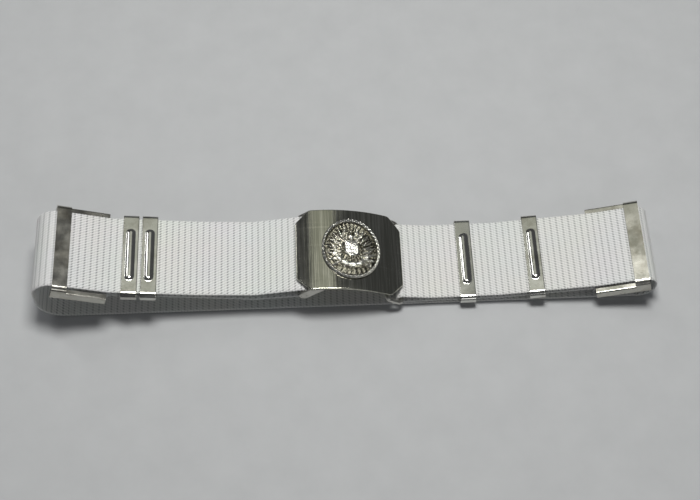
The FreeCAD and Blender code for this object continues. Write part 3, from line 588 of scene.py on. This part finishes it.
def keeper_piece(node, joint_name, body):
    """Bent sheet band with rolled edges and a pressed, rounded rib on its front."""
    pose = slope_pose(node, joint_name)
    straight = WIDTH / 2 - 2 * FIT
    middle_z = -KEEPER_RIB / 2
    ends = 26
    top = np.linspace(-straight, straight, 132)
    radius = KEEPER_INNER + KEEPER_SHEET
    arc = np.linspace(math.pi / 2, -math.pi / 2, ends)[1:-1]
    ring = [(y, radius, 0.0, 1.0) for y in top]
    ring += [(straight + radius * math.cos(a), radius * math.sin(a), math.cos(a), math.sin(a))
             for a in arc]
    ring += [(y, -radius, 0.0, -1.0) for y in top[::4][::-1]]
    ring += [(-straight - radius * math.cos(a), -radius * math.sin(a), -math.cos(a), -math.sin(a))
             for a in arc]
    ring = np.array(ring)
    half = KEEPER_WIDTH / 2
    roll = 0.28 * MM
    outside = np.concatenate([[-half, -half + 0.08 * MM, -half + roll],
                              np.linspace(-half + 2 * roll, half - 2 * roll, 33),
                              [half - roll, half - 0.08 * MM, half]])
    sheet = np.concatenate([[roll, 0.08 * MM, 0.0], np.zeros(33), [0.0, 0.08 * MM, roll]])
    inside = np.linspace(half, -half, 7)
    section_x = np.concatenate([outside, inside])
    section_in = np.concatenate([sheet, np.full(7, KEEPER_SHEET)])
    x = np.tile(section_x, (len(ring), 1))
    y = np.tile(ring[:, :1], (1, len(section_x)))
    away = np.hypot(x / RIB_HALF_WIDTH,
                    np.maximum(np.abs(y) - (RIB_HALF_LENGTH - RIB_HALF_WIDTH), 0) / RIB_HALF_WIDTH)
    on_front = (ring[:, 3:] > 0.99) & (section_in < 0.3 * MM)[None, :]
    pressed = np.clip((1.0 - away) / 0.85, 0, 1)
    rib = np.where(on_front, KEEPER_RIB * np.sin(pressed * math.pi / 2), 0.0)
    depth = rib - section_in[None, :]
    px = x
    py = ring[:, :1] + ring[:, 2:3] * depth
    pz = ring[:, 1:2] + ring[:, 3:] * depth + middle_z
    rotation = np.array(pose.to_3x3())
    origin = np.array(pose.translation)
    vertices = np.stack([px, py, pz], axis=-1).reshape(-1, 3) @ rotation.T + origin
    rows = len(ring)
    columns = len(section_x)
    faces = grid_faces(rows, columns, True).tolist()
    for column in range(columns):
        following = (column + 1) % columns
        faces.append([(rows - 1) * columns + column, (rows - 1) * columns + following,
                      following, column])
    piece = add_mesh(node + "_sheet", vertices, faces, KEEPER)
    stand_for(piece, node, body)
    return piece


for number, node in enumerate(("keeper_left_outer", "keeper_left_inner", "keeper_right_inner",
                               "keeper_right_outer"), start=1):
    keeper_piece(node, f"keeper_{number}_slide", f"keeper_{number}")


# ---- buckle plate ---------------------------------------------------------------------------

def bend_to_arch(vertex):
    """Flat (u, v, w above the underside) to the plate's arch, then into the row's frame."""
    angle = vertex[0] / (PLATE_ARCH + PLATE_SHEET)
    radius = PLATE_ARCH + vertex[2]
    return BUCKLE @ Vector((radius * math.sin(angle), vertex[1],
                            radius * math.cos(angle) - PLATE_ARCH))


def make_plate():
    """Eight-sided plate with small rolled corners and a soft front edge, bent to its arch."""
    half_u = (PLATE_ARCH + PLATE_SHEET) * math.asin(PLATE_LENGTH / 2 / (PLATE_ARCH + PLATE_SHEET))
    half_v = PLATE_WIDTH / 2
    cut = PLATE_CORNER
    outline = [(half_u, -half_v + cut), (half_u, half_v - cut), (half_u - cut, half_v),
               (-half_u + cut, half_v), (-half_u, half_v - cut), (-half_u, -half_v + cut),
               (-half_u + cut, -half_v), (half_u - cut, -half_v)]
    work = bmesh.new()
    low = [work.verts.new((u, v, 0)) for u, v in outline]
    work.faces.new(low)
    top = bmesh.ops.extrude_face_region(work, geom=list(work.faces))
    for item in top["geom"]:
        if isinstance(item, bmesh.types.BMVert):
            item.co.z = PLATE_SHEET
    work.edges.ensure_lookup_table()
    upright = [edge for edge in work.edges
               if abs(edge.verts[0].co.z - edge.verts[1].co.z) > PLATE_SHEET / 2]
    bmesh.ops.bevel(work, geom=upright, offset=1.3 * MM, segments=5, profile=0.5, affect="EDGES")
    front = [edge for edge in work.edges
             if all(vert.co.z > PLATE_SHEET * 0.99 for vert in edge.verts)
             and len(edge.link_faces) == 2 and edge.calc_face_angle() > 0.5]
    bmesh.ops.bevel(work, geom=front, offset=0.75 * MM, segments=5, profile=0.5, affect="EDGES")
    for place in np.linspace(-half_u, half_u, 90)[1:-1]:
        geometry = list(work.verts) + list(work.edges) + list(work.faces)
        bmesh.ops.bisect_plane(work, geom=geometry, plane_co=(place, 0, 0), plane_no=(1, 0, 0))
    for vert in work.verts:
        vert.co = bend_to_arch(vert.co)
    bmesh.ops.recalc_face_normals(work, faces=work.faces)
    mesh = bpy.data.meshes.new("buckle_plate_mirror")
    work.to_mesh(mesh)
    work.free()
    mesh.shade_smooth()
    mesh.materials.append(PLATE)
    piece = bpy.data.objects.new("buckle_plate_mirror", mesh)
    bpy.context.scene.collection.objects.link(piece)
    smooth = piece.modifiers.new("flat_faces", "WEIGHTED_NORMAL")
    smooth.keep_sharp = False
    stand_for(piece, "buckle_plate", "buckle")


make_plate()


# ---- medallion ------------------------------------------------------------------------------

MEDAL_U = 20.0 * MM
MEDAL_V = 22.75 * MM


def bead(x, y, cx, cy, radius):
    """Height of a round bead, 0 to 1."""
    return np.sqrt(np.clip(1 - ((x - cx) ** 2 + (y - cy) ** 2) / radius ** 2, 0, 1))


def leaf(x, y, cx, cy, angle, length, width):
    """Height of a pointed leaf with a midrib, 0 to 1."""
    along = (x - cx) * math.cos(angle) + (y - cy) * math.sin(angle)
    side = -(x - cx) * math.sin(angle) + (y - cy) * math.cos(angle)
    place = np.clip(along / length, 0, 1)
    half = width * np.sin(math.pi * place ** 0.8) + 1e-6
    body = np.clip(1 - (side / half) ** 2, 0, 1) ** 0.5
    rib = 0.35 * np.exp(-(side / (0.18 * width)) ** 2)
    inside = (along > 0) & (along < length) & (np.abs(side) < half)
    return np.where(inside, body * (0.75 + rib), 0.0)


def medallion_relief(x, y):
    """Relief in millimetres on the oval: beaded rim, two plumed sprays, a shield and a ribbon."""
    ring = np.hypot(x / 20.0, y / 22.75)
    relief = 0.18 + 0.06 * np.cos(ring * 6)
    rays = np.abs(np.sin(18 * np.arctan2(y - 3.0, x)))
    relief = relief + 0.22 * rays * (ring < 0.86)
    for sign in (1, -1):
        for row in range(2):
            count = 8
            for index in range(count):
                share = index / (count - 1)
                angle = math.radians(-48 + 122 * share)
                reach = 6.4 + 4.4 * row
                cx = sign * (2.2 + reach * math.cos(angle) * 0.72)
                cy = -1.5 + reach * math.sin(angle) * 1.05
                lean = angle + math.radians(24 - 8 * row)
                turn = lean if sign > 0 else math.pi - lean
                plume = leaf(x, y, cx, cy, turn, 8.0 - 1.0 * row, 1.5)
                relief = np.maximum(relief, plume * (1.9 - 0.35 * row))
    shield_side = np.abs(x) / 4.7
    shield_top = (y - 4.6) / 4.2 + 0.62
    shield_point = (-y - 1.0) / 5.2 + shield_side ** 2 * 0.55
    shield_edge = np.maximum(shield_side, np.maximum(shield_top, shield_point))
    shield = np.clip(1 - shield_edge, 0, 1)
    flutes = 0.22 * np.abs(np.sin(x * math.pi / 1.55)) * (y < 1.6)
    relief = np.maximum(relief, np.where(shield > 0, 1.1 + 1.15 * np.sqrt(shield) + flutes, 0))
    for place in range(7):
        angle = math.radians(30 + 20 * place)
        crest = bead(x, y, 7.4 * math.cos(angle), 5.8 + 6.6 * math.sin(angle), 0.95)
        relief = np.maximum(relief, 1.7 * crest)
    relief = np.maximum(relief, 2.1 * bead(x, y, 0, 8.4, 2.3))
    drape = -12.2 + 0.055 * x ** 2
    ribbon = np.clip(1 - np.abs(y - drape) / 1.7, 0, 1) * (np.abs(x) < 10.5)
    folds = 0.25 * np.sin(x * 1.25) * (ribbon > 0)
    relief = np.maximum(relief, np.where(ribbon > 0, 1.25 + 0.5 * np.sqrt(ribbon) + folds, 0))
    for sign in (1, -1):
        for index in range(6):
            turn = math.radians(62 if sign > 0 else 118)
            root_x = sign * (1.2 + 1.9 * index)
            root_y = -15.6 + 0.42 * index ** 1.3
            spray = leaf(x, y, root_x, root_y, turn, 3.6, 0.85)
            relief = np.maximum(relief, 1.6 * spray)
    rim = np.clip(1 - np.abs(ring - 0.945) / 0.055, 0, 1)
    angle = np.arctan2(y / 22.75, x / 20.0)
    rope = np.abs(np.sin(angle * 22))
    relief = np.where(ring > 0.89, 0.9 + 1.35 * np.sqrt(rim) * (0.35 + 0.65 * rope), relief)
    fine = 0.10 * np.sin(x * 4.2 + y * 1.5) * np.sin(y * 3.9)
    return relief + fine * (ring < 0.86)


def make_medallion():
    """Height field on rings of the oval, with a rolled edge down to the plate."""
    rings = 162
    spokes = 560
    radius = np.concatenate([np.linspace(0.004, 0.985, rings), [0.995, 1.0, 1.0]])
    angle = np.linspace(0, 2 * math.pi, spokes, endpoint=False)
    ring, turn = np.meshgrid(radius, angle, indexing="ij")
    u = ring * np.cos(turn) * MEDAL_U
    v = ring * np.sin(turn) * MEDAL_V
    relief = medallion_relief(u / MM, v / MM)
    relief[-3:, :] = np.array([0.95, 0.7, 0.0])[:, None]
    height = relief * MM * 1.05
    height[-1, :] = 0.02 * MM
    share = np.clip(relief / 2.3, 0, 1)
    around = PLATE_ARCH + PLATE_SHEET + height
    bend = u / (PLATE_ARCH + PLATE_SHEET)
    local = np.stack([around * np.sin(bend), v, around * np.cos(bend) - PLATE_ARCH], axis=-1)
    rotation = np.array(BUCKLE.to_3x3())
    vertices = local.reshape(-1, 3) @ rotation.T + np.array(BUCKLE.translation)
    faces = grid_faces(len(radius), spokes, True).tolist()
    faces.append(list(range(spokes))[::-1])
    last = (len(radius) - 1) * spokes
    faces.append(list(range(last, last + spokes)))
    uv = np.stack([0.5 + ring * np.cos(turn) * 0.49, 0.5 + ring * np.sin(turn) * 0.49],
                  axis=-1).reshape(-1, 2)
    piece = add_mesh("medallion_struck", vertices, faces, MEDALLION, uv=uv,
                     attribute=("relief", share.reshape(-1)))
    stand_for(piece, "medallion", "buckle")


make_medallion()


# ---- the other metal pieces -----------------------------------------------------------------

for node, bevel in (("hinge_bar", 0.4), ("hinge_ears", 0.25), ("hook", 0.3),
                    ("medallion_studs", 0.2), ("hook_rivets", 0.2)):
    softened_copy(node, "buckle", HARDWARE, bevel * MM)
softened_copy("catch_loop", "catch_ring", HARDWARE, 0.1 * MM)
for side in ("left", "right"):
    softened_copy(f"adjuster_{side}_frame", "belt", ADJUSTER, 0.35 * MM)
    softened_copy(f"adjuster_{side}_pin", "belt", ADJUSTER, 0.3 * MM)


# ---- floor, light and camera ----------------------------------------------------------------

def make_floor():
    mesh = bpy.data.meshes.new("floor")
    reach = 3.0
    mesh.from_pydata([(-reach, -reach, 0), (reach, -reach, 0), (reach, reach, 0),
                      (-reach, reach, 0)], [], [(0, 1, 2, 3)])
    shader = Shader("pale_floor")
    grain = shader.noise(40.0)
    colour = shader.ramp(grain.outputs["Fac"], [(0.3, (0.49, 0.50, 0.51)), (0.7, (0.52, 0.53, 0.54))])
    shader.set(Base_Color=colour, Roughness=0.8)
    mesh.materials.append(shader.material)
    floor = bpy.data.objects.new("floor", mesh)
    floor.location.z = -0.0004
    bpy.context.scene.collection.objects.link(floor)


def aim(item, target):
    item.rotation_euler = (target - item.location).to_track_quat("-Z", "Y").to_euler()


def add_light(name, place, target, size, power, colour=(1, 1, 1)):
    light = bpy.data.lights.new(name, "AREA")
    light.shape = "RECTANGLE"
    light.size, light.size_y = size
    light.energy = power
    light.color = colour
    item = bpy.data.objects.new(name, light)
    bpy.context.scene.collection.objects.link(item)
    item.location = place
    aim(item, target)
    return item


make_floor()
scene = bpy.context.scene
target = BUCKLE @ Vector((-0.0013, -0.0019, 0.003))
elevation = math.radians(60.0)
azimuth = math.radians(-2.3)
distance = 0.927

camera_data = bpy.data.cameras.new("camera")
camera_data.lens = 71.8
camera = bpy.data.objects.new("camera", camera_data)
scene.collection.objects.link(camera)
toward = Vector((math.sin(azimuth) * math.cos(elevation), -math.cos(azimuth) * math.cos(elevation),
                 math.sin(elevation)))
camera.location = target + toward * distance
aim(camera, target)
scene.camera = camera

key_toward = Vector((0.05, 0.15, 0.98)).normalized()
add_light("key", target + key_toward * 1.25, target, (0.5, 0.3), 12.5, (1.0, 0.995, 0.97))
card_toward = Vector((0.0, 0.5, 0.866))
add_light("card", target + card_toward * 1.25, target, (0.38, 0.9), 0.42, (0.98, 1.0, 0.84))
add_light("strip", target + Vector((-0.9, 0.8, 1.1)), target, (0.12, 0.8), 2.0)
add_light("front", target + Vector((0.5, -1.4, 0.9)), target, (0.8, 0.4), 1.6)

world = bpy.data.worlds.new("world")
scene.world = world
world.use_nodes = True
world.node_tree.nodes["Background"].inputs["Color"].default_value = (0.78, 0.80, 0.84, 1)
world.node_tree.nodes["Background"].inputs["Strength"].default_value = 0.10
scene.view_settings.view_transform = "Standard"
